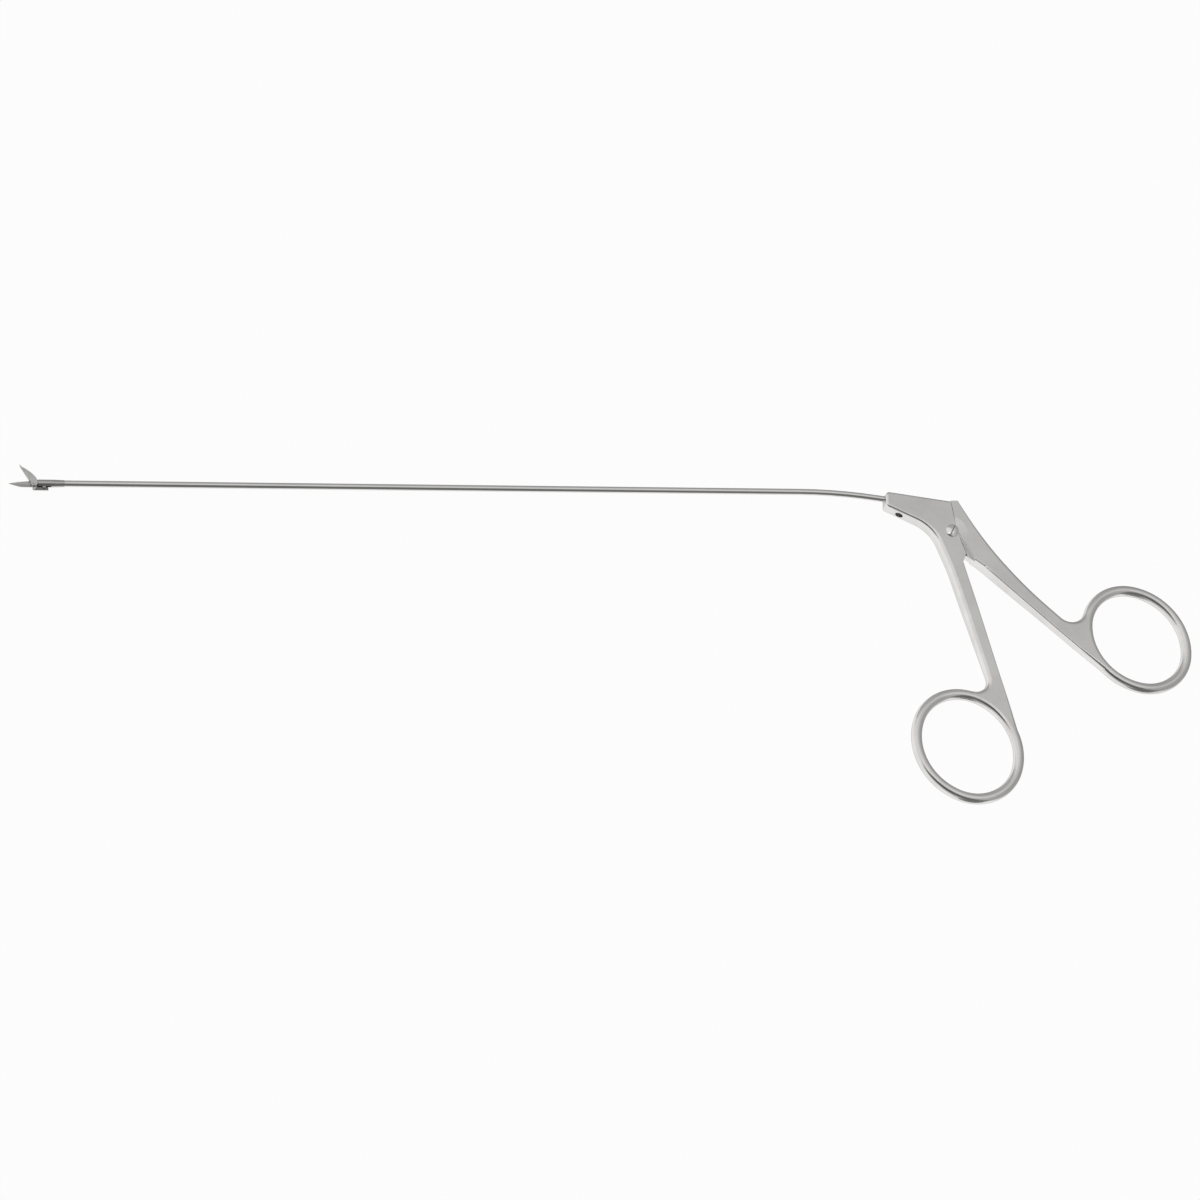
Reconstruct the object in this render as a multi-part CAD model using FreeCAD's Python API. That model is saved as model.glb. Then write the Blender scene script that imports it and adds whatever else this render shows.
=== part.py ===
"""Alligator scissors: ring handles squeeze a pull rod in a thin tube, which shuts a small jaw.

The instrument lies on its side. X runs along the shaft from the jaw to the handles, Y is up
in the plane of the handles, Z is the thickness. Everything is laid out round the handle
pivot at X = Y = 0, and moved at the end so that the origin is under the middle of its box.
All sizes are in millimetres.
"""
import FreeCAD, Part
import math
import os

Vector = FreeCAD.Vector

# Handles
thickness = 3.8               # of both handles, over their flat faces
middle = thickness / 2        # height of the plane that every piece is centred on
slot_width = 2.1              # between the two cheeks of the front handle
side_play = 0.05              # each side of the tongue and of the rod end
edge_rounding = 1.2           # outer edges of the shanks
nose_rounding = 0.7           # grows into the front shank's rounding round the belly
shoulder_rounding = 0.35      # grows into the rear shank's
edge_break = 0.4              # inner edges of the shanks
ring_rounding = 1.1           # what that grows to where they run into the rings
ring_blend = 14.0             # length over which it grows
running_play = 0.03           # radial, round a pin that turns

# Rings: round wire bent to an oval
wire_radius = 1.4
web_inset = 0.3               # how far the shank's inner edge runs inside the wire
front_neck = 3.4              # radius between the shank and its ring
rear_neck = 4.2
front_ring_centre = (-4.87, -60.98)
front_ring_radii = (14.74, 13.56)
front_ring_tilt = -69.5
rear_ring_centre = (47.6, -30.8)
rear_ring_radii = (14.59, 13.22)
rear_ring_tilt = -56.2
taper_length = 20.0           # of shank, before its ring, over which it thins to the wire

# Shaft tube
tube_radius = 0.8
tube_bore_radius = 0.55
solder_gap = 0.01
bend_angle = 8.7
bend_radius = 140.0
tube_lead = 2.0               # straight tube between nose and bend
nose_reach = 18.23            # nose face to pivot, along the tube's end
axis_height = 7.275           # tube's end axis above the pivot
seat_depth = 8.0              # tube inside the nose
working_length = 230.0        # nose to blade tip, along the shaft

# Front handle
nose_above = 1.6              # nose over the tube's axis
nose_below = 2.68
nose_corner = 1.0
seam_top = 0.9                # cheek's edge, where it meets the top
seam_middle = 1.3             # at the pivot
crotch = (2.8, -6.7)
slot_foot = (0.2, -7.9)       # lower front corner of the tongue's slot
inner_edge_start = (1.75, -8.9)
belly = (-5.48, 1.25)         # corner between nose and shank
belly_radius = 10.3
hip = (-2.14, -11.2)
hip_radius = 40.0
shank_outer_end = (2.75, -39.3)

# Handle pivot
screw_radius = 1.0
screw_head_radius = 1.75
screw_head_height = 0.7
screw_rim = 0.25              # height of the head's edge
screw_slot_width = 0.3
screw_slot_depth = 0.5
screw_slot_angle = 59.0

# Rear handle
seam_gap = 0.1
rear_top_width = 2.1
rear_outer_end = (23.68, -21.32)
rear_outer_slope = 45.5
rear_inner_start = (3.1, -7.1)
rear_inner_middle = (6.3, -9.35)
rear_inner_end = (9.2, -12.2)
tongue_radius = 2.9           # round the pivot
tongue_front = 172.0          # direction of the front edge's foot, seen from the pivot
tongue_foot = 215.0
tongue_root = 0.9             # how far it reaches into the handle
tongue_clearance = 0.4        # ahead of it, in the slot
ear_radius = 1.15             # round the rod's pin
eye_clearance = 0.25          # round the rod's eye, between the ears
ramp_width = 0.35             # from the tongue's face up to the shank's
hollow_reach = 4.2            # of the shallow hollow round the pivot
hollow_depth = 0.25           # of it beside the seam

# Rod and its rear end
rod_radius = 0.35
rod_hole_radius = 0.62        # in the nose, behind the tube
rod_end_radius = 0.8
rod_end_length = 3.0          # front face to pin
rod_barrel_length = 1.4
rod_end_bottom = 0.8          # end of the rod's hole, ahead of the pin
rod_neck_width = 1.2          # between barrel and eye
eye_radius = 1.0
eye_thickness = 0.8
rod_pin_radius = 0.45
rod_pin_play = 0.05

# Set screw that holds the tube
set_screw_radius = 1.0
set_screw_length = 2.2
set_screw_place = 4.1         # from the nose face

# Jaw
head_radius = 0.95
head_length = 6.6             # from the blade's root to its rear end
head_taper = 2.8
head_socket = 3.2             # tube inside the head
blade_length = 6.3            # pivot to tip
jaw_opening = 57.5
pivot_drop = 0.1              # blade pivot below the shaft's axis
root_radius = 0.88
cheek_clearance = 0.07
blade_thickness = 0.75
edge_thickness = 0.12         # of each blade at its tip
thinning_start = 1.2          # ahead of the pivot
shear_gap = 0.01              # each side of the plane in which the blades pass
blade_rivet_radius = 0.3
blade_rivet_head = 0.5
rivet_head_height = 0.12
jaw_slot_width = 0.84
jaw_slot_roof = 0.53          # above the shaft's axis
tail_arm = 1.27
tail_angle = -89.0            # of the tail at rest
tail_eye = 0.4
tail_thickness = 0.35
layer_gap = 0.02              # between tail and link, each side of the middle plane
link_length = 2.5
link_eye = 0.4
link_tail = 1.04              # link behind its rear rivet
link_rear_drop = 0.92         # rear rivet below the shaft's axis
link_crest_gap = 0.12         # between the link's top and the head
link_rivet_radius = 0.2
tail_play = 0.06              # radial, in the tail's slot
lug_length = 0.6              # rod's lug, behind the link's rear rivet
lug_overlap = 0.15            # of lug and rod
slot_end_gap = 0.08           # behind the lug when the jaw is shut

# Outlines of the shut blades, ahead of the pivot and above it
fixed_top = (0.9, 0.76)
fixed_shoulder = (1.5, 0.65)
fixed_crest = (3.4, 0.46)
fixed_keel = (3.9, -0.56)
fixed_chin = (0.9, -0.86)
moving_nape = (0.5, 1.15)
moving_crown = (2.9, 0.95)
moving_needle_top = (5.35, 0.12)
moving_needle_foot = (5.45, -0.28)
moving_heel = (1.45, -0.6)


def point(xy, z=0.0):
    return Vector(xy[0], xy[1], z)


def polar(centre, radius, degrees):
    angle = math.radians(degrees)
    return (centre[0] + radius * math.cos(angle), centre[1] + radius * math.sin(angle))


def along(start, direction, distance):
    return (start[0] + direction[0] * distance, start[1] + direction[1] * distance)


def unit(start, end):
    length = math.dist(start, end)
    return ((end[0] - start[0]) / length, (end[1] - start[1]) / length)


def line(start, end):
    return Part.LineSegment(point(start), point(end)).toShape()


def arc(start, through, end):
    return Part.Arc(point(start), point(through), point(end)).toShape()


def plate(edges, low, high):
    """A flat solid between two heights."""
    face = Part.Face(Part.Wire(Part.sortEdges(edges)[0]))
    face.translate(Vector(0, 0, low))
    return face.extrude(Vector(0, 0, high - low))


def polygon_plate(points, low, high):
    return plate([line(a, b) for a, b in zip(points, points[1:] + points[:1])], low, high)


def disc(centre, radius, low, high):
    return Part.makeCylinder(radius, high - low, point(centre, low))


def pin(start, direction, length, radius, height=middle):
    """A cylinder that lies in the instrument's plane."""
    return Part.makeCylinder(radius, length, point(start, height), point(direction))


def round_corner(before, corner, after, radius):
    """Start, middle and end of the tangent arc that rounds a corner."""
    back, on = unit(corner, before), unit(corner, after)
    half = math.acos(back[0] * on[0] + back[1] * on[1]) / 2
    reach = radius / math.tan(half)
    bisector = unit((0, 0), (back[0] + on[0], back[1] + on[1]))
    depth = radius / math.sin(half) - radius
    return along(corner, back, reach), along(corner, bisector, depth), along(corner, on, reach)


def middle_into(start, end, heading):
    """Middle of the arc that reaches its end in a given direction."""
    chord = unit(start, end)
    turn = math.asin(chord[0] * heading[1] - chord[1] * heading[0])
    sagitta = math.dist(start, end) / 2 * math.tan(turn / 2)
    centre = ((start[0] + end[0]) / 2, (start[1] + end[1]) / 2)
    return along(centre, (chord[1], -chord[0]), sagitta)


class Oval:
    """A four-centre oval, made of two flat and two tight arcs that run into each other."""

    def __init__(self, centre, radii, tilt):
        long, short = radii
        shift = (long - short) / (2 - math.sqrt(2))
        self.arcs = []
        for turn, radius, offset in ((0, long - shift, shift), (90, short + shift, -shift)):
            for side in (0, 180):
                heading = tilt + turn + side
                self.arcs.append((polar(centre, offset, heading), radius, heading))

    def holds(self, heading, place, centre):
        angle = math.degrees(math.atan2(place[1] - centre[1], place[0] - centre[0]))
        return abs((angle - heading + 180) % 360 - 180) <= 45.0 + 1e-6

    def wire(self, offset=0.0):
        edges = []
        for centre, radius, heading in self.arcs:
            ends = [polar(centre, radius + offset, heading + a) for a in (-45, 0, 45)]
            edges.append(arc(*ends))
        return Part.Wire(Part.sortEdges(edges)[0])

    def tube(self, radius):
        """Round wire along the oval, one piece of torus after another."""
        pieces = []
        for centre, bend, heading in self.arcs:
            start = polar(centre, bend, heading - 45)
            tangent = Vector(*polar((0, 0), 1, heading + 45), 0)
            section = Part.Face(Part.Wire(Part.makeCircle(radius, point(start, middle), tangent)))
            pieces.append(section.revolve(point(centre, middle), Vector(0, 0, 1), 90))
        return pieces[0].multiFuse(pieces[1:]).removeSplitter()

    def inside(self, offset=0.0):
        face = Part.Face(self.wire(offset))
        face.translate(Vector(0, 0, -1))
        return face.extrude(Vector(0, 0, thickness + 2))

    def tangent_from(self, start, offset, side):
        """Where a line from a point touches the oval, round to the left (1) or right (-1)."""
        for centre, radius, heading in self.arcs:
            reach = math.dist(start, centre)
            back = math.degrees(math.atan2(start[1] - centre[1], start[0] - centre[0]))
            turn = math.degrees(math.acos((radius + offset) / reach))
            touch = polar(centre, radius + offset, back + side * turn)
            if self.holds(heading, touch, centre):
                return touch

    def neck_from(self, start, end, offset, radius, side):
        """The arc of a given radius that joins a straight edge to the outside of the oval."""
        direction = unit(start, end)
        normal = (-direction[1] * side, direction[0] * side)
        for centre, bend, heading in self.arcs:
            base = along(start, normal, radius)
            to_centre = (centre[0] - base[0], centre[1] - base[1])
            ahead = to_centre[0] * direction[0] + to_centre[1] * direction[1]
            aside = abs(to_centre[0] * direction[1] - to_centre[1] * direction[0])
            reach = bend + offset + radius
            if aside >= reach:
                continue
            hub = along(base, direction, ahead - math.sqrt(reach ** 2 - aside ** 2))
            touch = along(centre, unit(centre, hub), bend + offset)
            if self.holds(heading, touch, centre):
                leave = along(hub, normal, -radius)
                to_ring, to_edge = unit(hub, touch), unit(hub, leave)
                bisector = unit((0, 0), (to_ring[0] + to_edge[0], to_ring[1] + to_edge[1]))
                return leave, along(hub, bisector, radius), touch


front_ring = Oval(front_ring_centre, front_ring_radii, front_ring_tilt)
rear_ring = Oval(rear_ring_centre, rear_ring_radii, rear_ring_tilt)

# Layout of the tube: its end axis runs down at the bend angle, above the pivot
axis_direction = polar((0, 0), 1, -bend_angle)
axis_normal = polar((0, 0), 1, 90 - bend_angle)
axis_foot = along((0, 0), axis_normal, axis_height)
nose_face = along(axis_foot, axis_direction, -nose_reach)
bend_end = along(nose_face, axis_direction, -tube_lead)
bend_centre = along(bend_end, axis_normal, -bend_radius)
bend_start = (bend_centre[0], bend_centre[1] + bend_radius)
shaft_height = bend_start[1]

# Layout of the jaw
tip_x = nose_face[0] - working_length
blade_pivot = (tip_x + blade_length, shaft_height - pivot_drop)
head_front = blade_pivot[0] + root_radius + cheek_clearance
head_rear = head_front + head_length
tube_front = head_rear - head_socket
tail_rivet = polar(blade_pivot, tail_arm, tail_angle)
tail_rivet_shut = polar(blade_pivot, tail_arm, tail_angle + jaw_opening)
link_rise = shaft_height - link_rear_drop - tail_rivet[1]
link_rivet = (tail_rivet[0] + math.sqrt(link_length ** 2 - link_rise ** 2),
              shaft_height - link_rear_drop)
link_rise_shut = link_rivet[1] - tail_rivet_shut[1]
rod_stroke = (tail_rivet_shut[0] + math.sqrt(link_length ** 2 - link_rise_shut ** 2)
              - link_rivet[0])
link_turn = math.degrees(math.asin(link_rise_shut / link_length)
                         - math.asin(link_rise / link_length))

# Half way, link and rod have moved in step with the blade, and the link's front rivet has
# come nearer to the blade pivot: the tail's eye is a slot, longer by that much
half_turn = math.asin(link_rise / link_length) + math.radians(link_turn / 2)
front_rivet_half_way = (link_rivet[0] + rod_stroke / 2 - link_length * math.cos(half_turn),
                        link_rivet[1] - link_length * math.sin(half_turn))
tail_slot = tail_arm - math.dist(blade_pivot, front_rivet_half_way)

# The rod's pin swings over the top of the pivot, half of the stroke to each side
pin_height = (axis_height - axis_normal[0] * -rod_stroke / 2) / axis_normal[1]
rod_pin_place = (-rod_stroke / 2, pin_height)
handle_travel = 2 * math.degrees(math.atan2(rod_stroke / 2, pin_height))

tongue_thickness = slot_width - 2 * side_play
eye_slot = eye_thickness + 2 * side_play
rear_corner = (seam_top + seam_gap + rear_top_width,
               nose_face[1] + nose_above / axis_normal[1]
               - (seam_top - nose_face[0]) * math.tan(math.radians(bend_angle)))


def thin_to_wire(start, end):
    """What is milled off both faces of a shank so that it ends as thick as the wire."""
    direction = unit(start, end)
    across = Vector(-direction[1], direction[0], 0)
    cutters = []
    for face, sign in ((thickness, 1), (0.0, -1)):
        profile = [(0, face), (taper_length, middle + sign * wire_radius),
                   (taper_length + 40, middle + sign * wire_radius),
                   (taper_length + 40, face + sign), (0, face + sign)]
        spine = along(end, direction, -taper_length)
        corners = [point(along(spine, direction, s), z) - across * 30 for s, z in profile]
        outline = Part.makePolygon(corners + corners[:1])
        cutters.append(Part.Face(outline).extrude(across * 60))
    return cutters


def front_outline():
    """The front handle from its nose to the ring, with the ring's edge as its foot."""
    top = along(nose_face, axis_normal, nose_above)
    bottom = along(nose_face, axis_normal, -nose_below)
    seam = (seam_top, rear_corner[1])
    upper = round_corner(bottom, top, seam, nose_corner)
    lower = round_corner(top, bottom, belly, nose_corner)
    waist = round_corner(bottom, belly, hip, belly_radius)
    flank = round_corner(belly, hip, shank_outer_end, hip_radius)
    neck = front_ring.neck_from(hip, shank_outer_end, wire_radius, front_neck, -1)
    touch = front_ring.tangent_from(inner_edge_start, wire_radius - web_inset, -1)
    blend = along(touch, unit(touch, inner_edge_start), ring_blend)
    foot = front_ring_centre
    outer = [arc(*waist), line(waist[2], flank[0]), arc(*flank), line(flank[2], neck[0]), arc(*neck)]
    rest = [line(neck[2], foot), line(foot, touch), line(touch, blend), line(blend, inner_edge_start),
            line(inner_edge_start, crotch), line(crotch, (seam_middle, 0)),
            line((seam_middle, 0), seam), line(seam, upper[2]), arc(*upper),
            line(upper[0], lower[0]), arc(*lower), line(lower[2], waist[0])]
    return outer, rest, neck[0]


def edges_over(shape, outline):
    """The edges of both faces that lie over the given outline."""
    found = []
    for edge in shape.Edges:
        place = edge.valueAt((edge.FirstParameter + edge.LastParameter) / 2)
        if abs(edge.tangentAt((edge.FirstParameter + edge.LastParameter) / 2).z) > 0.5:
            continue
        flat = Part.Vertex(place.x, place.y, 0)
        if min(flat.distToShape(part)[0] for part in outline) < 0.02:
            found.append(edge)
    return found


def edges_from(shape, outline_edge):
    """Of the edges over an edge of the outline, those that begin where it begins."""
    start = outline_edge.Vertexes[0].Point
    return [edge for edge in edges_over(shape, [outline_edge])
            if math.dist(edge.Vertexes[0].Point[:2], start[:2]) < 0.02]


def front_handle():
    outer, rest, neck = front_outline()
    body = plate(outer + rest, 0, thickness)
    for cutter in thin_to_wire(hip, neck):
        body = body.cut(cutter)
    body = body.makeFillet(nose_rounding, edge_rounding, edges_from(body, outer[0]))
    body = body.makeFillet(edge_break, ring_rounding, edges_over(body, rest[2:3]))
    body = body.cut(front_ring.inside())
    body = body.fuse(front_ring.tube(wire_radius))

    # Slot for the tongue, open to the top and to the seam
    wall = -tongue_radius - tongue_clearance
    clear = 2 * axis_height
    slot = [(wall - 1, clear), (wall - 1, 4), (wall, 2), (wall, -1.2), slot_foot,
            (crotch[0], slot_foot[1] - 0.6), (clear, slot_foot[1] - 0.6), (clear, clear)]
    low = middle - slot_width / 2
    body = body.cut(polygon_plate(slot, low, low + slot_width))

    # Tube seat, and the rod's hole on to the slot
    body = body.cut(pin(nose_face, axis_direction, seat_depth, tube_radius + solder_gap))
    body = body.cut(pin(nose_face, axis_direction, nose_reach - 3, rod_hole_radius))

    # Hole for the set screw, square to the tube
    place = along(nose_face, axis_direction, set_screw_place)
    down = (-axis_normal[0], -axis_normal[1])
    body = body.cut(pin(place, down, 2 * nose_below, set_screw_radius))
    return body.cut(disc((0, 0), screw_radius, -1, thickness + 1)).removeSplitter()


def rear_outline():
    top = (seam_top + seam_gap, rear_corner[1])
    heading = polar((0, 0), 1, -rear_outer_slope)
    neck = rear_ring.neck_from(rear_outer_end, along(rear_outer_end, heading, 1), wire_radius,
                               rear_neck, 1)
    touch = rear_ring.tangent_from(rear_inner_end, wire_radius - web_inset, 1)
    waist = middle_into(rear_corner, rear_outer_end, heading)
    outer = [arc(rear_corner, waist, rear_outer_end), line(rear_outer_end, neck[0]), arc(*neck)]
    blend = along(touch, unit(touch, rear_inner_end), ring_blend)
    rest = [line(neck[2], rear_ring_centre), line(rear_ring_centre, touch), line(touch, blend),
            line(blend, rear_inner_end), arc(rear_inner_end, rear_inner_middle, rear_inner_start),
            line(rear_inner_start, (seam_middle + seam_gap, 0)),
            line((seam_middle + seam_gap, 0), top), line(top, rear_corner)]
    return outer, rest, neck[0]


def shoulder_relief():
    """What is milled off the rear handle: the way of the cheeks, and a hollow round the pivot."""
    swept = turned(crotch, handle_travel)
    start = (seam_middle + seam_gap, 0.2)
    down = unit(start, (swept[0] + seam_gap, swept[1]))
    across = (-down[1], down[0])
    cutters = []
    for face, sign in ((thickness, 1), (0.0, -1)):
        floor = middle + sign * tongue_thickness / 2
        side_ramp = ramp(start, across, face, floor, sign)
        end_ramp = ramp(start, (-down[0], -down[1]), face, floor, sign)
        cutters += [side_ramp.common(end_ramp), hollow(face, sign)]
    return cutters


def hollow(face, sign):
    """A shallow cone, deepest beside the seam, that runs out in a face."""
    inner = seam_middle + seam_gap
    height = hollow_depth + 0.1
    outer = inner + (hollow_reach - inner) * height / hollow_depth
    bottom = point((0, 0), face - sign * hollow_depth)
    return Part.makeCone(inner, outer, height, bottom, Vector(0, 0, sign))


def ramp(start, outward, face, floor, sign):
    """A floor on one side of a line, and a slope from it up to a face on the other side."""
    reach = 14
    profile = [(-reach, floor), (0, floor), (ramp_width, face), (ramp_width, face + sign),
               (-reach, face + sign)]
    edge = (-outward[1], outward[0])
    corners = [point(along(along(start, edge, -reach), outward, u), z) for u, z in profile]
    return Part.Face(Part.makePolygon(corners + corners[:1])).extrude(point(edge) * 2 * reach)


def turned(place, degrees):
    angle = math.radians(degrees)
    return (place[0] * math.cos(angle) - place[1] * math.sin(angle),
            place[0] * math.sin(angle) + place[1] * math.cos(angle))


def rear_handle():
    outer, rest, neck = rear_outline()
    body = plate(outer + rest, 0, thickness)
    for cutter in thin_to_wire(rear_outer_end, neck):
        body = body.cut(cutter)
    body = body.makeFillet(shoulder_rounding, edge_rounding, edges_from(body, outer[0]))
    body = body.makeFillet(edge_break, ring_rounding, edges_over(body, rest[2:3]))
    for cutter in shoulder_relief():
        body = body.cut(cutter)
    body = body.cut(rear_ring.inside())
    body = body.fuse(rear_ring.tube(wire_radius))

    low = middle - tongue_thickness / 2
    high = low + tongue_thickness
    tongue = disc((0, 0), tongue_radius, low, high).fuse(disc(rod_pin_place, ear_radius, low, high))
    root = tongue_root
    flat = [polar((0, 0), tongue_radius, tongue_front), polar(rod_pin_place, ear_radius, tongue_front),
            polar(rod_pin_place, ear_radius, 90), (rear_corner[0] - root, rear_corner[1] - root / 2),
            (seam_middle + 2 * root, 0), (rear_inner_start[0] + root, rear_inner_start[1] + root / 3),
            rear_inner_start, (rear_inner_start[0] - root, rear_inner_start[1]),
            polar((0, 0), tongue_radius, tongue_foot)]
    tongue = tongue.fuse(polygon_plate(flat, low, high))
    body = body.fuse(tongue)

    # Gap between the ears for the rod's eye
    low = middle - eye_slot / 2
    reach = eye_radius + eye_clearance
    gap = disc(rod_pin_place, reach, low, low + eye_slot)
    gap = gap.fuse(pin_gap(reach, low))
    body = body.cut(gap)
    body = body.cut(disc(rod_pin_place, rod_pin_radius, -1, thickness + 1))
    return body.cut(disc((0, 0), screw_radius + running_play, -1, thickness + 1)).removeSplitter()


def pin_gap(reach, low):
    """The gap's open side, towards the nose and the top."""
    corners = [along(rod_pin_place, axis_normal, -reach), along(rod_pin_place, axis_normal, 4)]
    corners += [along(corners[1], axis_direction, -8), along(corners[0], axis_direction, -8)]
    return polygon_plate(corners, low, low + eye_slot)


def pivot_screw():
    shank = disc((0, 0), screw_radius, 0, thickness)
    crown = screw_head_height - screw_rim
    dome_radius = (screw_head_radius ** 2 + crown ** 2) / (2 * crown)
    top = thickness + screw_head_height
    head = disc((0, 0), screw_head_radius, thickness, top)
    head = head.common(Part.makeSphere(dome_radius, Vector(0, 0, top - dome_radius)))
    cut = Part.makeBox(4 * screw_head_radius, screw_slot_width, screw_slot_depth + 1,
                       Vector(-2 * screw_head_radius, -screw_slot_width / 2, top - screw_slot_depth))
    cut.rotate(Vector(0, 0, 0), Vector(0, 0, 1), screw_slot_angle)
    return shank.fuse(head).cut(cut).removeSplitter()


def tube_path(front, rear_depth):
    """Centre line of the tube from a front X to a depth behind the nose face."""
    rear = along(nose_face, axis_direction, rear_depth)
    middle_of_bend = polar(bend_centre, bend_radius, 90 - bend_angle / 2)
    return Part.Wire([line((front, shaft_height), bend_start), arc(bend_start, middle_of_bend, bend_end),
                      line(bend_end, rear)])


def along_path(radius, front, rear_depth):
    path = tube_path(front, rear_depth)
    section = Part.Wire(Part.makeCircle(radius, Vector(front, shaft_height, 0), Vector(1, 0, 0)))
    solid = path.makePipeShell([section], True, False)
    solid.translate(Vector(0, 0, middle))
    return solid


def shaft_tube():
    return along_path(tube_radius, tube_front, seat_depth).cut(
        along_path(tube_bore_radius, tube_front - 1, seat_depth + 1))


def tube_set_screw():
    place = along(nose_face, axis_direction, set_screw_place)
    down = (-axis_normal[0], -axis_normal[1])
    start = along(place, down, tube_radius)
    screw = pin(start, down, set_screw_length, set_screw_radius)
    cut = Part.makeBox(2 * set_screw_radius, 0.4, 0.5, Vector(-set_screw_radius, -0.2, 0))
    cut.rotate(Vector(0, 0, 0), Vector(1, 0, 0), 90)
    cut.rotate(Vector(0, 0, 0), Vector(0, 0, 1), -bend_angle)
    end = along(start, down, set_screw_length)
    cut.translate(point(end, middle) + point(axis_normal) * 0.5)
    return screw.cut(cut)


def on_blade(*places):
    """Places given ahead of the blade pivot and above it, on the instrument."""
    return [(blade_pivot[0] - x, blade_pivot[1] + y) for x, y in places]


def fixed_blade():
    """Head on the tube's end, with the fixed blade in one piece on its far side."""
    axis = (head_front, shaft_height)
    barrel = pin(axis, (1, 0), head_length - head_taper, head_radius)
    cone = Part.makeCone(head_radius, tube_radius + 0.05, head_taper,
                         point((head_rear - head_taper, shaft_height), middle), Vector(1, 0, 0))
    head = barrel.fuse(cone)

    # Blade and root: an outline, rounded at the back, thinned towards the tip
    tip, keel, chin, top, shoulder, crest = on_blade(
        (blade_length, 0), fixed_keel, fixed_chin, fixed_top, fixed_shoulder, fixed_crest)
    root_top = (head_front, shaft_height + head_radius)
    root_low = (head_front, shaft_height - head_radius)
    outline = [arc(tip, keel, chin), line(chin, root_low), line(root_low, root_top),
               line(root_top, top), line(top, shoulder), arc(shoulder, crest, tip)]
    blade = plate(outline, middle - head_radius, middle - shear_gap)
    blade = blade.common(pin((tip_x, shaft_height), (1, 0), head_front - tip_x, head_radius + side_play))
    head = head.fuse(blade.cut(thinning(-head_radius, -1)))

    # Slot for link, tail and rod, open below; a round boss stays under the moving blade
    low = middle - jaw_slot_width / 2
    high = low + jaw_slot_width
    floor = shaft_height - 3
    rear = lug_rear() + rod_stroke + slot_end_gap
    slot = polygon_plate([(head_front, floor), (rear, floor), (rear, shaft_height + jaw_slot_roof),
                          (head_front, shaft_height + jaw_slot_roof)], low, high)
    front = tail_rivet[0] - tail_eye - 0.12
    pocket = polygon_plate([(front, floor), (head_front, floor), (head_front, shaft_height),
                            (blade_pivot[0], shaft_height), (front, tail_rivet[1] + tail_eye + 0.1)],
                           low, high)
    pocket = pocket.cut(disc(blade_pivot, tail_arm - tail_slot - tail_eye - side_play, low, high))
    head = head.cut(slot).cut(pocket)
    head = head.cut(pin((head_front, shaft_height), (1, 0), head_length, tube_bore_radius))
    head = head.cut(pin((tube_front, shaft_height), (1, 0), head_length, tube_radius + solder_gap))
    return head.cut(disc(blade_pivot, blade_rivet_radius, -1, thickness)).removeSplitter()


def thinning(outer, side):
    """What is ground off a blade's outer face, so that it thins towards its tip."""
    start = blade_pivot[0] - thinning_start
    profile = [(tip_x - 1, side * edge_thickness), (tip_x, side * edge_thickness), (start, outer),
               (start, outer + side), (tip_x - 1, outer + side)]
    corners = [Vector(x, shaft_height - blade_length, middle + z) for x, z in profile]
    return Part.Face(Part.makePolygon(corners + corners[:1])).extrude(Vector(0, 2 * blade_length, 0))


def moving_blade():
    """Modelled shut, beside the fixed blade, then opened to where it rests."""
    shear = middle + shear_gap
    tip, foot, heel, nape, crown, top = on_blade((blade_length, 0), moving_needle_foot, moving_heel,
                                                 moving_nape, moving_crown, moving_needle_top)
    low = polar(blade_pivot, root_radius, 218)
    high = polar(blade_pivot, root_radius, 70)
    outline = [line(tip, foot), line(foot, heel), line(heel, low), line(low, blade_pivot),
               line(blade_pivot, high), line(high, nape), arc(nape, crown, top), line(top, tip)]
    blade = plate(outline, shear, shear + blade_thickness).cut(thinning(shear_gap + blade_thickness, 1))
    blade = blade.fuse(disc(blade_pivot, root_radius, shear, shear + blade_thickness))
    blade.rotate(point(blade_pivot), Vector(0, 0, 1), -jaw_opening)

    low = middle + layer_gap
    high = low + tail_thickness
    side = 90 - 12
    neck = root_radius - running_play
    tail = polygon_plate([polar(blade_pivot, neck, tail_angle - side),
                          polar(tail_rivet, tail_eye, tail_angle - side),
                          polar(tail_rivet, tail_eye, tail_angle + side),
                          polar(blade_pivot, neck, tail_angle + side)], low, high)
    blade = blade.fuse(tail.fuse(disc(tail_rivet, tail_eye, low, high)))
    slot_end = polar(tail_rivet, tail_slot, tail_angle + 180)
    eye = link_rivet_radius + tail_play
    slot = polygon_plate([polar(tail_rivet, eye, tail_angle + 90), polar(tail_rivet, eye, tail_angle - 90),
                          polar(slot_end, eye, tail_angle - 90), polar(slot_end, eye, tail_angle + 90)],
                         low, high)
    slot = slot.fuse(disc(tail_rivet, eye, low, high)).fuse(disc(slot_end, eye, low, high))
    hole = disc(blade_pivot, blade_rivet_radius + running_play, -1, thickness)
    return blade.cut(slot).cut(hole).removeSplitter()


def blade_rivet():
    top = middle + blade_thickness + 2 * shear_gap
    shank = disc(blade_pivot, blade_rivet_radius, middle - head_radius + side_play, top)
    head = disc(blade_pivot, blade_rivet_head, top, top + rivet_head_height)
    return shank.fuse(head).removeSplitter()


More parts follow.
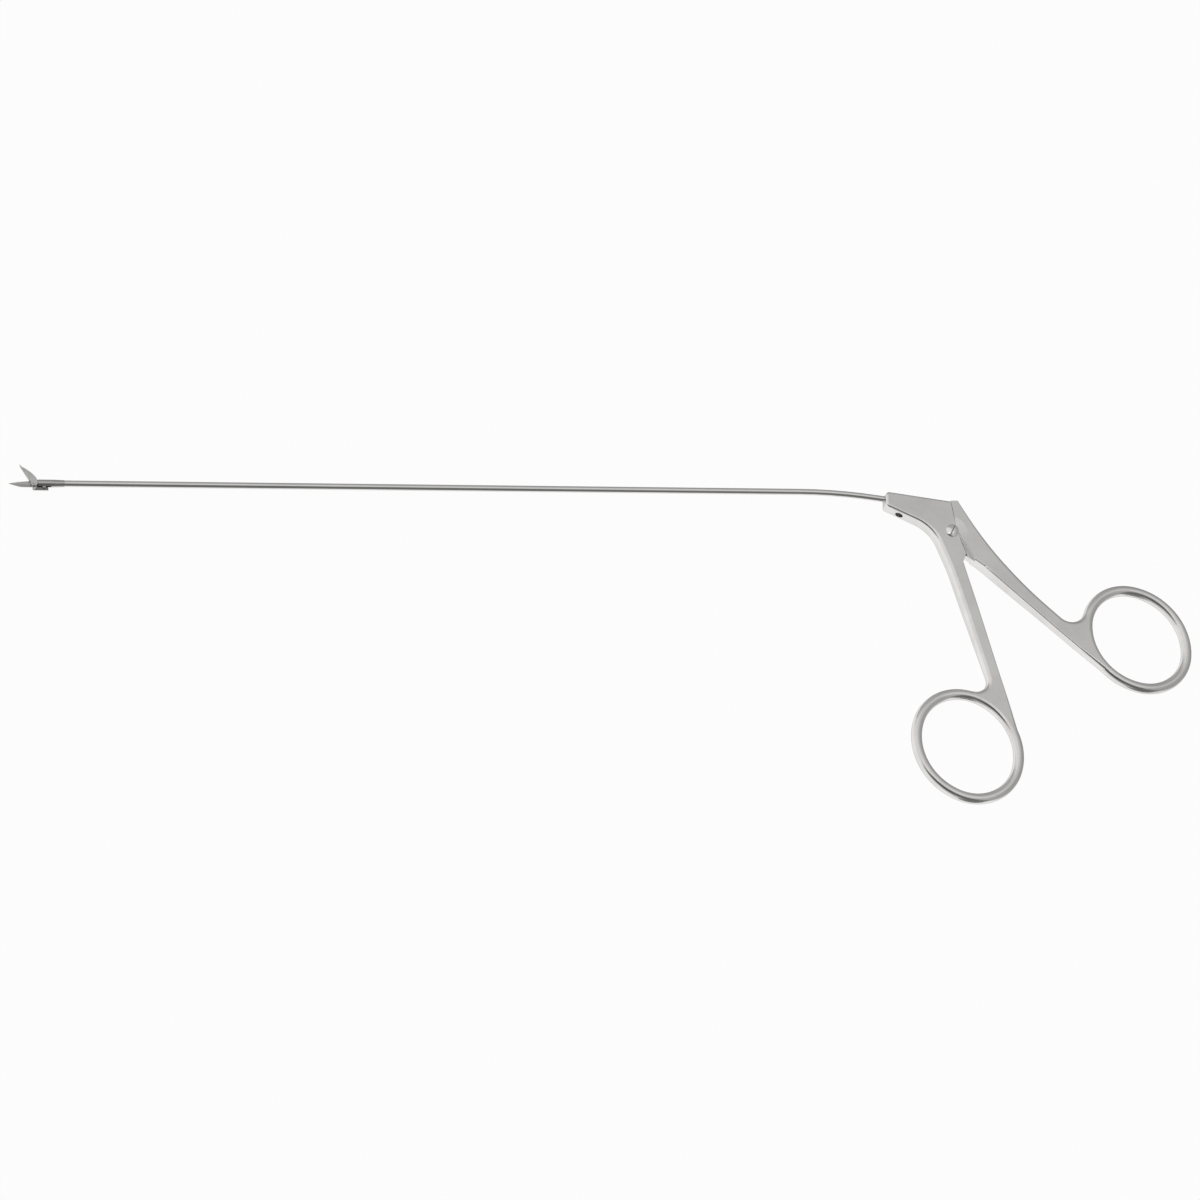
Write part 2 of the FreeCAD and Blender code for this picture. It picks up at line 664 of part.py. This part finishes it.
def drag_link():
    low = middle - layer_gap - tail_thickness
    high = middle - layer_gap
    bottom = tail_rivet[1] - tail_eye
    rear = link_rivet[0] + link_tail
    crest = shaft_height - head_radius - link_crest_gap
    boss = [polar(link_rivet, link_eye, angle) for angle in (40, 90, 120)]
    nose = [polar(tail_rivet, tail_eye, angle) for angle in (80, 180, 270)]
    outline = [line(nose[2], (rear, bottom)), line((rear, bottom), (rear, crest)),
               line((rear, crest), boss[0]), arc(*boss), line(boss[2], nose[0]), arc(*nose)]
    link = plate(outline, low, high)
    link = link.cut(disc(link_rivet, link_rivet_radius + running_play, -1, thickness))
    return link.cut(disc(tail_rivet, link_rivet_radius, -1, thickness))


def link_rivet_at(place):
    half = layer_gap + tail_thickness
    return disc(place, link_rivet_radius, middle - half, middle + half)


def pull_rod():
    """Round rod; its front end is a flat lug that reaches down to the link."""
    rod = along_path(rod_radius, lug_rear() - lug_overlap, rod_line_length() - rod_end_bottom)
    low = middle + layer_gap
    top = shaft_height + rod_radius - 0.1
    lug = [polar(link_rivet, link_eye, 215), polar(link_rivet, link_eye, 325),
           (lug_rear(), shaft_height - rod_radius), (lug_rear(), top), (link_rivet[0] - 0.1, top),
           polar(link_rivet, link_eye, 150)]
    high = low + tail_thickness
    lug = polygon_plate(lug, low, high).fuse(disc(link_rivet, link_eye, low, high))
    return rod.fuse(lug).cut(disc(link_rivet, link_rivet_radius, -1, thickness)).removeSplitter()


def lug_rear():
    return link_rivet[0] + lug_length


def rod_line_length():
    """From the nose face to the rod's pin, along the tube's end axis."""
    return ((rod_pin_place[0] - nose_face[0]) * axis_direction[0]
            + (rod_pin_place[1] - nose_face[1]) * axis_direction[1])


def rod_end():
    low = middle - eye_thickness / 2
    eye = disc(rod_pin_place, eye_radius, low, low + eye_thickness)
    start = along(rod_pin_place, axis_direction, -rod_end_length)
    barrel = pin(start, axis_direction, rod_barrel_length, rod_end_radius)
    front = rod_barrel_length / 2 - rod_end_length
    half = rod_neck_width / 2
    neck = [along(along(rod_pin_place, axis_direction, ahead), axis_normal, aside)
            for ahead, aside in ((0, -half), (0, half), (front, half), (front, -half))]
    body = eye.fuse(barrel).fuse(polygon_plate(neck, low, low + eye_thickness))
    body = body.cut(pin(start, axis_direction, rod_end_length - rod_end_bottom, rod_radius + solder_gap))
    return body.cut(disc(rod_pin_place, rod_pin_radius + rod_pin_play, -1, thickness)).removeSplitter()


def rod_pin():
    half = tongue_thickness / 2
    return disc(rod_pin_place, rod_pin_radius, middle - half, middle + half)


pieces = {
    "front_handle": front_handle(),
    "rear_handle": rear_handle(),
    "pivot_screw": pivot_screw(),
    "shaft_tube": shaft_tube(),
    "tube_set_screw": tube_set_screw(),
    "fixed_blade": fixed_blade(),
    "moving_blade": moving_blade(),
    "blade_rivet": blade_rivet(),
    "drag_link": drag_link(),
    "link_front_rivet": link_rivet_at(tail_rivet),
    "link_rear_rivet": link_rivet_at(link_rivet),
    "pull_rod": pull_rod(),
    "rod_end": rod_end(),
    "rod_pin": rod_pin(),
}

box = FreeCAD.BoundBox()
for shape in pieces.values():
    box.add(shape.BoundBox)
origin = Vector(box.Center.x, box.Center.y, box.ZMin)
os.makedirs("parts", exist_ok=True)
for name, shape in pieces.items():
    shape.translate(-origin)
    shape.exportStep(f"parts/{name}.step")
    print(name, "valid" if shape.isValid() else "INVALID", len(shape.Solids), round(shape.Volume, 3))
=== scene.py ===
# Alligator scissors on a pale table: finishes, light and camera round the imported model, in metres
import math
import bpy
from mathutils import Matrix, Vector


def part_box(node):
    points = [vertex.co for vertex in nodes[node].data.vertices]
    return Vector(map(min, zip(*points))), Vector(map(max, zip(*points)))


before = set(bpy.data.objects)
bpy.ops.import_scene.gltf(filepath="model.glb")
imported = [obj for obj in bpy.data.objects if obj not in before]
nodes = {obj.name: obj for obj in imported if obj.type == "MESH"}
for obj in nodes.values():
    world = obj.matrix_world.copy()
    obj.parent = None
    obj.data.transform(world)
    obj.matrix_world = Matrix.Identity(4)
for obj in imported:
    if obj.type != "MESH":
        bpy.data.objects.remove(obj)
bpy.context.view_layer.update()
mm = 0.001


def boxMiddle(node):
    low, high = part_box(node)
    return (low + high) / 2


def direction(azimuth, elevation):
    # azimuth 0 is in front of the object, at -Y, and 90 is to its right
    a, e = math.radians(azimuth), math.radians(elevation)
    return Vector((math.sin(a) * math.cos(e), -math.cos(a) * math.cos(e), math.sin(e)))


# Shader maths: a socket that takes part in sums
class Wire:
    def __init__(self, graph, socket):
        self.graph, self.socket = graph, socket

    def combine(self, operation, a, b):
        return self.graph.add("Math", {"operation": operation}, {0: a, 1: b})[0]

    def __add__(self, other):
        return self.combine("ADD", self, other)

    def __radd__(self, other):
        return self.combine("ADD", other, self)

    def __sub__(self, other):
        return self.combine("SUBTRACT", self, other)

    def __rsub__(self, other):
        return self.combine("SUBTRACT", other, self)

    def __mul__(self, other):
        return self.combine("MULTIPLY", self, other)

    def __rmul__(self, other):
        return self.combine("MULTIPLY", other, self)


class Made:
    # the outputs of a node, by number or name, as wires
    def __init__(self, graph, node):
        self.graph, self.node = graph, node

    def __getitem__(self, key):
        return Wire(self.graph, self.node.outputs[key])


class Graph:
    def __init__(self, owner):
        owner.use_nodes = True
        self.tree = owner.node_tree
        self.tree.nodes.clear()

    def add(self, kind, settings=None, inputs=None):
        node = self.tree.nodes.new("ShaderNode" + kind)
        for name, value in (settings or {}).items():
            setattr(node, name, value)
        for key, value in (inputs or {}).items():
            if isinstance(value, Wire):
                self.tree.links.new(value.socket, node.inputs[key])
            elif node.inputs[key].type == "RGBA":
                node.inputs[key].default_value = (*value, 1)
            else:
                node.inputs[key].default_value = value
        return Made(self, node)

    def fade(self, value, start, end):
        # a smooth step from 0 at start to 1 at end
        return self.add("MapRange", {"interpolation_type": "SMOOTHSTEP"},
                        {"Value": value, "From Min": start, "From Max": end})[0]

    def unsigned(self, value):
        return self.add("Math", {"operation": "ABSOLUTE"}, {0: value})[0]

    def marks(self, place, kind):
        # a noise of one kind from the grain table, faded to 0 and 1 where the table says so
        look = grain[kind]
        noise = self.add("TexNoise", {}, {"Vector": place, "Scale": look["perMetre"],
                                          "Detail": look["detail"], "Roughness": look["rough"]})[0]
        return self.fade(noise, *look["edges"]) if "edges" in look else noise

    def stretched(self, place, turn, scale):
        # coordinates turned about Z and scaled, for marks that run one way
        return self.add("Mapping", {"vector_type": "POINT"},
                        {"Vector": place, "Rotation": (0, 0, turn), "Scale": scale})[0]

    def leaning(self, share, towards):
        # the surface's own normal, leaning towards a fixed direction
        own = self.add("NewGeometry")["Normal"]
        mixed = self.add("Mix", {"data_type": "VECTOR"}, {0: share, 4: own, 5: towards})[1]
        return self.add("VectorMath", {"operation": "NORMALIZE"}, {0: mixed})["Vector"]

    def mixColour(self, share, first, second):
        return self.add("Mix", {"data_type": "RGBA"}, {0: share, 6: first, 7: second})[2]


# the finishes; lines and speckle say how deep the brushing and the blasting go, in mm, and
# cheek and foot are lines on the rear handle, from x, y down to x, y, about the pivot
steels = {
    "satin": {"colour": (0.88, 0.87, 0.855), "dull": (0.74, 0.73, 0.715), "roughness": 0.20,
              "unevenness": 0.05, "lines": 0.0035, "lineTurn": 68.0},
    "satinRear": {"colour": (0.88, 0.87, 0.855), "dull": (0.74, 0.73, 0.715), "roughness": 0.20,
                  "unevenness": 0.05, "lines": 0.0035, "lineTurn": 38.0,
                  "relief": {"pivot": "pivot_screw", "plane": 1.9 * mm,
                             "cheek": (1.3 * mm, 0.0, 2.8 * mm, -6.7 * mm),
                             "foot": (1.4 * mm, 0.2 * mm, 3.85 * mm, -6.22 * mm),
                             "start": 0.2 * mm, "end": (-7.1 * mm, -6.8 * mm),
                             "floor": 1.0 * mm, "face": 1.88 * mm, "skin": 0.01 * mm,
                             "wall": 0.42 * mm, "line": 0.5 * mm, "soft": 0.04 * mm,
                             # the milled wall's colour is lighter than the face's: partly painted
                             # light on the wall in the cheek's shade
                             "milled": (0.92, 0.915, 0.90), "wallRougher": 0.1, "lean": 0.9,
                             # the dark line colour along the cheek is painted shade for the gap under
                             # the cheek's edge
                             "grime": (0.16, 0.155, 0.15), "lineRougher": 0.3}},
    "tube": {"colour": (0.87, 0.86, 0.85), "dull": (0.80, 0.79, 0.78), "roughness": 0.13,
             "unevenness": 0.04, "lines": 0.0014, "lineTurn": 0.0},
    "jaw": {"colour": (0.86, 0.855, 0.84), "dull": (0.48, 0.475, 0.46), "roughness": 0.30,
            "unevenness": 0.10, "speckle": 0.026},
    "fixedJaw": {"colour": (0.70, 0.695, 0.68), "dull": (0.46, 0.455, 0.44), "roughness": 0.24,
                 "unevenness": 0.06, "speckle": 0.026,
                 "zones": {"node": "fixed_blade", "head": (6.9 * mm, 7.5 * mm),
                           "cone": (10.9 * mm, 11.4 * mm), "smooth": 0.06, "glint": 0.75,
                           # the blade's lower half takes a darker colour: painted shade
                           "keel": (0.1 * mm, 0.75 * mm), "shade": (0.34, 0.335, 0.325)}},
    "rod": {"colour": (0.72, 0.71, 0.70), "dull": (0.64, 0.63, 0.62), "roughness": 0.24,
            "unevenness": 0.05, "lines": 0.002, "lineTurn": 0.0},
    "screw": {"colour": (0.93, 0.92, 0.90), "dull": (0.84, 0.83, 0.81), "roughness": 0.12,
              "unevenness": 0.04,
              "slot": {"node": "pivot_screw", "turn": 59.0, "half": 0.16 * mm, "soft": 0.016 * mm,
                       # the slot's darker colour is painted shade in its recess
                       "depth": (0.18 * mm, 0.30 * mm), "grime": (0.42, 0.41, 0.40),
                       "rougher": 0.3}},
    "rivet": {"colour": (0.90, 0.89, 0.87), "dull": (0.80, 0.79, 0.77), "roughness": 0.16,
              "unevenness": 0.04},
    # the link's dark colour is painted shade for the strip of the link under the head; the tube's set
    # screw and the link's rear rivet take it too
    "link": {"colour": (0.30, 0.295, 0.29), "dull": (0.22, 0.215, 0.21), "roughness": 0.30,
             "unevenness": 0.06, "speckle": 0.004},
}
rimTint = (0.62, 0.62, 0.61)  # what steel mirrors at its very edge

# the marks: how fine, where they fade in, and how far they dull the colour
grain = {
    "broad": {"perMetre": 48, "detail": 1, "rough": 0.5, "edges": (0.36, 0.64), "share": 0.4},
    "cloud": {"perMetre": 140, "detail": 3, "rough": 0.5, "edges": (0.35, 0.68), "share": 0.3,
              "middle": 0.4},
    "smudge": {"perMetre": 420, "detail": 4, "rough": 0.6, "edges": (0.45, 0.75), "share": 0.25,
               "rougher": 0.6},
    "pits": {"perMetre": 3800, "detail": 2, "rough": 0.7, "edges": (0.42, 0.62), "share": 0.7},
    "lines": {"perMetre": 5200, "detail": 3, "rough": 0.6, "stretch": 0.035, "middle": 0.5},
    "speckle": {"perMetre": 5200, "detail": 3, "rough": 0.65, "middle": 0.5},
}


def inSlot(graph, place, slot):
    # 1 on the floor and walls of a screw's slot, 0 elsewhere: where its painted shade goes
    middle = boxMiddle(slot["node"])
    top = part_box(slot["node"])[1].z
    turn = math.radians(slot["turn"])
    across = graph.add("VectorMath", {"operation": "DOT_PRODUCT"},
                       {0: place, 1: (-math.sin(turn), math.cos(turn), 0)})["Value"]
    offset = across - (middle.y * math.cos(turn) - middle.x * math.sin(turn))
    near = 1 - graph.fade(graph.unsigned(offset), slot["half"], slot["half"] + slot["soft"])
    height = graph.add("SeparateXYZ", {}, {0: place})["Z"]
    return near * graph.fade(height, *(top - depth for depth in slot["depth"]))


def besideSeam(graph, place, relief):
    # the milled wall of the rear handle beside the seam, lighter as partly painted light, and a line
    # of painted shade along the cheek
    pivot = boxMiddle(relief["pivot"])
    apart = graph.add("SeparateXYZ", {}, {0: place})
    x, y = apart["X"] - pivot.x, apart["Y"] - pivot.y
    height = graph.unsigned(apart["Z"] - relief["plane"])

    def beyond(startX, startY, endX, endY):
        # how far a place lies to the right of a line that runs down
        long = math.hypot(endX - startX, endY - startY)
        return (x - startX) * ((startY - endY) / long) + (y - startY) * ((endX - startX) / long)

    soft, floor, face = relief["soft"], relief["floor"], relief["face"]
    below = 1 - graph.fade(y, 0, relief["start"])
    risen = graph.fade(height, floor + soft, floor + 2 * soft)
    aside = beyond(*relief["foot"])
    wall = graph.fade(aside, -2 * soft, -soft) * below * risen
    wall = wall * (1 - graph.fade(aside, relief["wall"], relief["wall"] + soft))
    wall = wall * (1 - graph.fade(height, face, face + relief["skin"]))
    wall = wall * graph.fade(apart["Z"], relief["plane"], relief["plane"] + soft)
    line = 1 - graph.fade(beyond(*relief["cheek"]), relief["line"], relief["line"] + 4 * soft)
    line = line * graph.fade(height, floor - 2 * soft, floor - soft) * (1 - risen)
    return wall, line * below * graph.fade(y, *relief["end"])


def jawZones(graph, place, zones):
    # how far a place is blasted: all over the blade, hardly on the head, glinting on its cone;
    # and how deep it lies in the blade's lower half, which is painted darker as painted shade
    low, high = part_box(zones["node"])
    apart = graph.add("SeparateXYZ", {}, {0: place})
    ahead = apart["X"] - low.x
    blade = 1 - graph.fade(ahead, *zones["head"])
    cone = graph.fade(ahead, *zones["cone"])
    keel = graph.fade((low.y + high.y) / 2 - apart["Y"], *zones["keel"])
    return blade + cone * zones["glint"] + zones["smooth"], keel * blade


def steel(name):
    look = steels[name]
    material = bpy.data.materials.new("steel_" + name)
    graph = Graph(material)
    place = graph.add("TexCoord")["Object"]
    broad, cloud, smudge = [graph.marks(place, kind) for kind in ("broad", "cloud", "smudge")]
    worn = broad * grain["broad"]["share"] + cloud * grain["cloud"]["share"]
    worn = worn + smudge * grain["smudge"]["share"]
    colour = graph.mixColour(worn, look["colour"], look["dull"])
    uneven = cloud - grain["cloud"]["middle"] + smudge * grain["smudge"]["rougher"]
    roughness = look["roughness"] + uneven * look["unevenness"]
    surface = {"Strength": 1.0, "Distance": mm}
    if "lines" in look:
        along = graph.stretched(place, -math.radians(look["lineTurn"]),
                                (grain["lines"]["stretch"], 1, 1))
        surface["Height"] = (graph.marks(along, "lines") - grain["lines"]["middle"]) * look["lines"]
    if "speckle" in look:
        height = (graph.marks(place, "speckle") - grain["speckle"]["middle"]) * look["speckle"]
        pits = graph.marks(place, "pits") * grain["pits"]["share"]
        if "zones" in look:
            blasted, keel = jawZones(graph, place, look["zones"])
            height, pits = height * blasted, pits * blasted
            # the blade's lower half is mixed towards a darker colour: painted shade
            colour = graph.mixColour(keel, colour, look["zones"]["shade"])
        colour = graph.mixColour(pits, colour, look["dull"])
        surface["Height"] = height
    if "slot" in look:
        # the slot's floor and walls are painted dark: painted shade in the recess
        dark = inSlot(graph, place, look["slot"])
        colour = graph.mixColour(dark, colour, look["slot"]["grime"])
        roughness = roughness + dark * look["slot"]["rougher"]
    if "relief" in look:
        relief = look["relief"]
        wall, line = besideSeam(graph, place, relief)
        # the milled wall is coloured lighter, partly painted light against its shade
        colour = graph.mixColour(wall, colour, relief["milled"])
        # the line along the cheek is painted dark: painted shade in the gap under the cheek's edge
        colour = graph.mixColour(line, colour, relief["grime"])
        roughness = roughness + wall * relief["wallRougher"] + line * relief["lineRougher"]
        # the wall is polished over into the face, so it shines as the face does
        surface["Normal"] = graph.leaning(wall * relief["lean"], (0, 0, 1))
    inputs = {"Base Color": colour, "Metallic": 1.0, "Roughness": roughness, "Specular Tint": rimTint}
    if "Height" in surface:
        inputs["Normal"] = graph.add("Bump", {}, surface)[0]
    shader = graph.add("BsdfPrincipled", {}, inputs)
    graph.add("OutputMaterial", {}, {"Surface": shader[0]})
    return material


finishOf = {
    "front_handle": "satin", "rear_handle": "satinRear", "pivot_screw": "screw",
    "shaft_tube": "tube", "tube_set_screw": "link", "fixed_blade": "fixedJaw",
    "moving_blade": "jaw", "blade_rivet": "jaw", "drag_link": "link",
    "link_front_rivet": "rivet", "link_rear_rivet": "link", "pull_rod": "rod",
    "rod_end": "rod", "rod_pin": "rivet",
}
finishes = {name: steel(name) for name in steels}
for node, finish in finishOf.items():
    nodes[node].data.materials.clear()
    nodes[node].data.materials.append(finishes[finish])
print("finishes", len(finishes))

table = {"half": 2.5, "below": 0.02 * mm, "colour": (0.95, 0.95, 0.95), "glow": 0.955}


def makeTable():
    h = table["half"]
    mesh = bpy.data.meshes.new("table")
    mesh.from_pydata([(-h, -h, 0), (h, -h, 0), (h, h, 0), (-h, h, 0)], [], [(0, 1, 2, 3)])
    top = bpy.data.objects.new("table", mesh)
    top.location.z = -table["below"]
    bpy.context.scene.collection.objects.link(top)
    top.visible_glossy = False  # the steel mirrors the tent below instead
    material = bpy.data.materials.new("table")
    graph = Graph(material)
    ray = graph.add("LightPath")
    seen = ray["Is Camera Ray"] * table["glow"]
    matt = graph.add("BsdfDiffuse", {}, {"Color": table["colour"]})
    white = graph.add("Emission", {}, {"Color": (1, 1, 1), "Strength": 1.0})
    mixed = graph.add("MixShader", {}, {0: seen, 1: matt[0], 2: white[0]})
    graph.add("OutputMaterial", {}, {"Surface": mixed[0]})
    mesh.materials.append(material)


# a pale tent with brighter and darker panels, each laid over the ones before it: azimuth and
# elevation, the half angles where it is whole and where it ends, and its strength
tent = {
    "level": 0.53,
    "panels": [
        {"at": (0, -90), "from": 88, "to": 92, "bright": 0.95},
        {"at": (180, 18), "from": 26, "to": 46, "bright": 0.39},
        {"at": (80, 12), "from": 25, "to": 55, "bright": 0.37},
        {"at": (135, -10), "from": 34, "to": 52, "bright": 0.36},
        {"at": (-90, 25), "from": 25, "to": 62, "bright": 0.90},
        {"at": (-120, 60), "from": 18, "to": 44, "bright": 0.76},
        {"at": (110, 73), "from": 6, "to": 17, "bright": 0.74},
        {"at": (-62, 74), "from": 4, "to": 13, "bright": 1.10},
        {"at": (-62, 40), "from": 8, "to": 22, "bright": 0.12},
        {"at": (-32, 50), "from": 18, "to": 30, "bright": 0.08},
        {"at": (2, 46), "from": 13, "to": 26, "bright": 0.12},
        {"at": (15, 20), "from": 13, "to": 26, "bright": 0.15},
        {"at": (5, -7), "from": 12, "to": 28, "bright": 0.17},
    ],
}


def makeSurroundings():
    world = bpy.data.worlds.new("tent")
    bpy.context.scene.world = world
    graph = Graph(world)
    look = graph.add("TexCoord")["Generated"]
    level = tent["level"]
    for panel in tent["panels"]:
        towards = direction(*panel["at"])
        facing = graph.add("VectorMath", {"operation": "DOT_PRODUCT"}, {0: look, 1: towards})["Value"]
        edge, core = math.cos(math.radians(panel["to"])), math.cos(math.radians(panel["from"]))
        share = graph.fade(facing, edge, core)
        level = share * panel["bright"] + (1 - share) * level
    seen = graph.add("LightPath")["Is Camera Ray"]
    strength = level * (1 - seen) + seen
    back = graph.add("Background", {}, {"Color": (1, 1, 1), "Strength": strength})
    graph.add("OutputWorld", {}, {"Surface": back[0]})


# where the photograph was taken from, about the pivot screw
camera = {"azimuth": -33.3561, "elevation": 60.5005, "roll": 30.0007, "distance": 1.0,
          "aim": (-98.2091 * mm, -19.6904 * mm), "lens": 117.665, "sensor": 36.0,
          "clip": (0.01, 20)}


def makeCamera():
    lens = bpy.data.cameras.new("camera")
    lens.lens, lens.sensor_width = camera["lens"], camera["sensor"]
    lens.sensor_fit = "HORIZONTAL"
    lens.clip_start, lens.clip_end = camera["clip"]
    eye = bpy.data.objects.new("camera", lens)
    bpy.context.scene.collection.objects.link(eye)
    bpy.context.scene.camera = eye
    back = direction(camera["azimuth"], camera["elevation"])
    level = Vector((0, 0, 1)).cross(back).normalized()
    right = Matrix.Rotation(math.radians(camera["roll"]), 3, back) @ level
    up = back.cross(right)
    pivot = boxMiddle("pivot_screw")
    handle = boxMiddle("front_handle")
    aim = Vector((pivot.x + camera["aim"][0], pivot.y + camera["aim"][1], handle.z))
    turn = Matrix((right, up, back)).transposed().to_4x4()
    eye.matrix_world = Matrix.Translation(aim + back * camera["distance"]) @ turn


makeTable()
makeSurroundings()
makeCamera()
bpy.context.scene.view_settings.view_transform = "Standard"
print("table, tent and camera")
